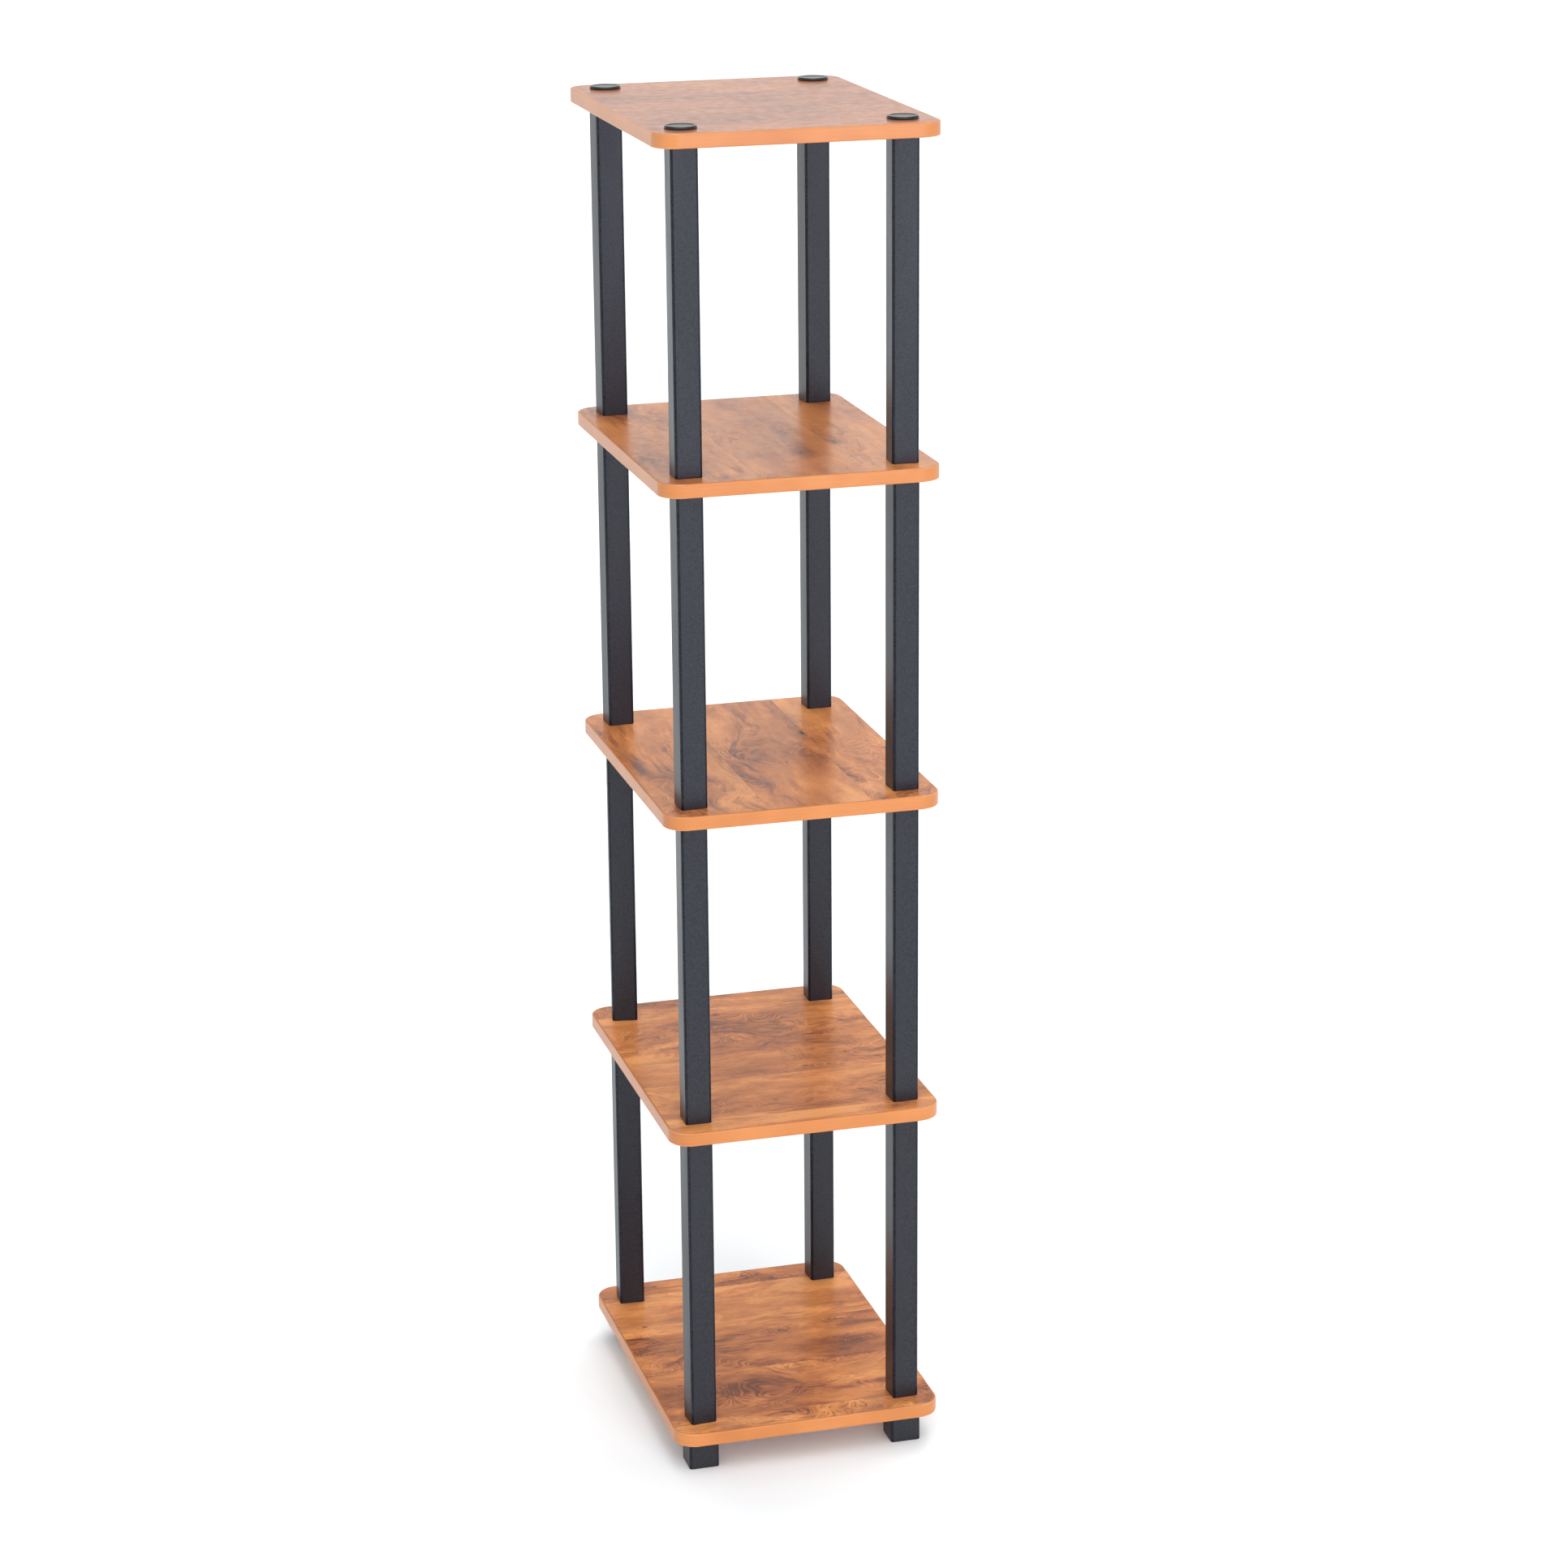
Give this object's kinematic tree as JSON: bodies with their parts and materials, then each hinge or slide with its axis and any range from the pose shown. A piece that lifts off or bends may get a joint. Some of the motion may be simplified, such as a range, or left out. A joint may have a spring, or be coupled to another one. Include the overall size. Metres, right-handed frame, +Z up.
{
  "type": "tiered display shelf rack",
  "caption": "Narrow free-standing rack of wood-grain shelves on square plastic posts that screw together through the shelves, with short feet and flat screw caps.",
  "frame": {"origin": "on the floor, under the middle of the shelves", "axes": "+X to the right along the shelves' short side, +Y to the back along their long side, +Z up"},
  "size_m": [0.296, 0.4, 1.4472],
  "materials": {
    "laminate_board": "satin wood-grain laminate on particle board",
    "edge_band": "satin wood-coloured plastic edging",
    "post_plastic": "satin charcoal plastic tube",
    "stud_plastic": "matte moulded plastic",
    "foot_plastic": "satin moulded charcoal plastic",
    "cap_plastic": "glossy moulded black plastic"
  },
  "bodies": {
    "root": {"shelf_1": "laminate_board", "edge_band_1": "edge_band", "shelf_2": "laminate_board", "edge_band_2": "edge_band", "shelf_3": "laminate_board", "edge_band_3": "edge_band", "shelf_4": "laminate_board", "edge_band_4": "edge_band", "shelf_5": "laminate_board", "edge_band_5": "edge_band", "post_1_front_left": "post_plastic", "stud_1_front_left": "stud_plastic", "post_1_front_right": "post_plastic", "stud_1_front_right": "stud_plastic", "post_1_back_left": "post_plastic", "stud_1_back_left": "stud_plastic", "post_1_back_right": "post_plastic", "stud_1_back_right": "stud_plastic", "post_2_front_left": "post_plastic", "stud_2_front_left": "stud_plastic", "post_2_front_right": "post_plastic", "stud_2_front_right": "stud_plastic", "post_2_back_left": "post_plastic", "stud_2_back_left": "stud_plastic", "post_2_back_right": "post_plastic", "stud_2_back_right": "stud_plastic", "post_3_front_left": "post_plastic", "stud_3_front_left": "stud_plastic", "post_3_front_right": "post_plastic", "stud_3_front_right": "stud_plastic", "post_3_back_left": "post_plastic", "stud_3_back_left": "stud_plastic", "post_3_back_right": "post_plastic", "stud_3_back_right": "stud_plastic", "post_4_front_left": "post_plastic", "stud_4_front_left": "stud_plastic", "post_4_front_right": "post_plastic", "stud_4_front_right": "stud_plastic", "post_4_back_left": "post_plastic", "stud_4_back_left": "stud_plastic", "post_4_back_right": "post_plastic", "stud_4_back_right": "stud_plastic", "foot_front_left": "foot_plastic", "cap_front_left": "cap_plastic", "foot_front_right": "foot_plastic", "cap_front_right": "cap_plastic", "foot_back_left": "foot_plastic", "cap_back_left": "cap_plastic", "foot_back_right": "foot_plastic", "cap_back_right": "cap_plastic"}
  },
  "joints": []
}
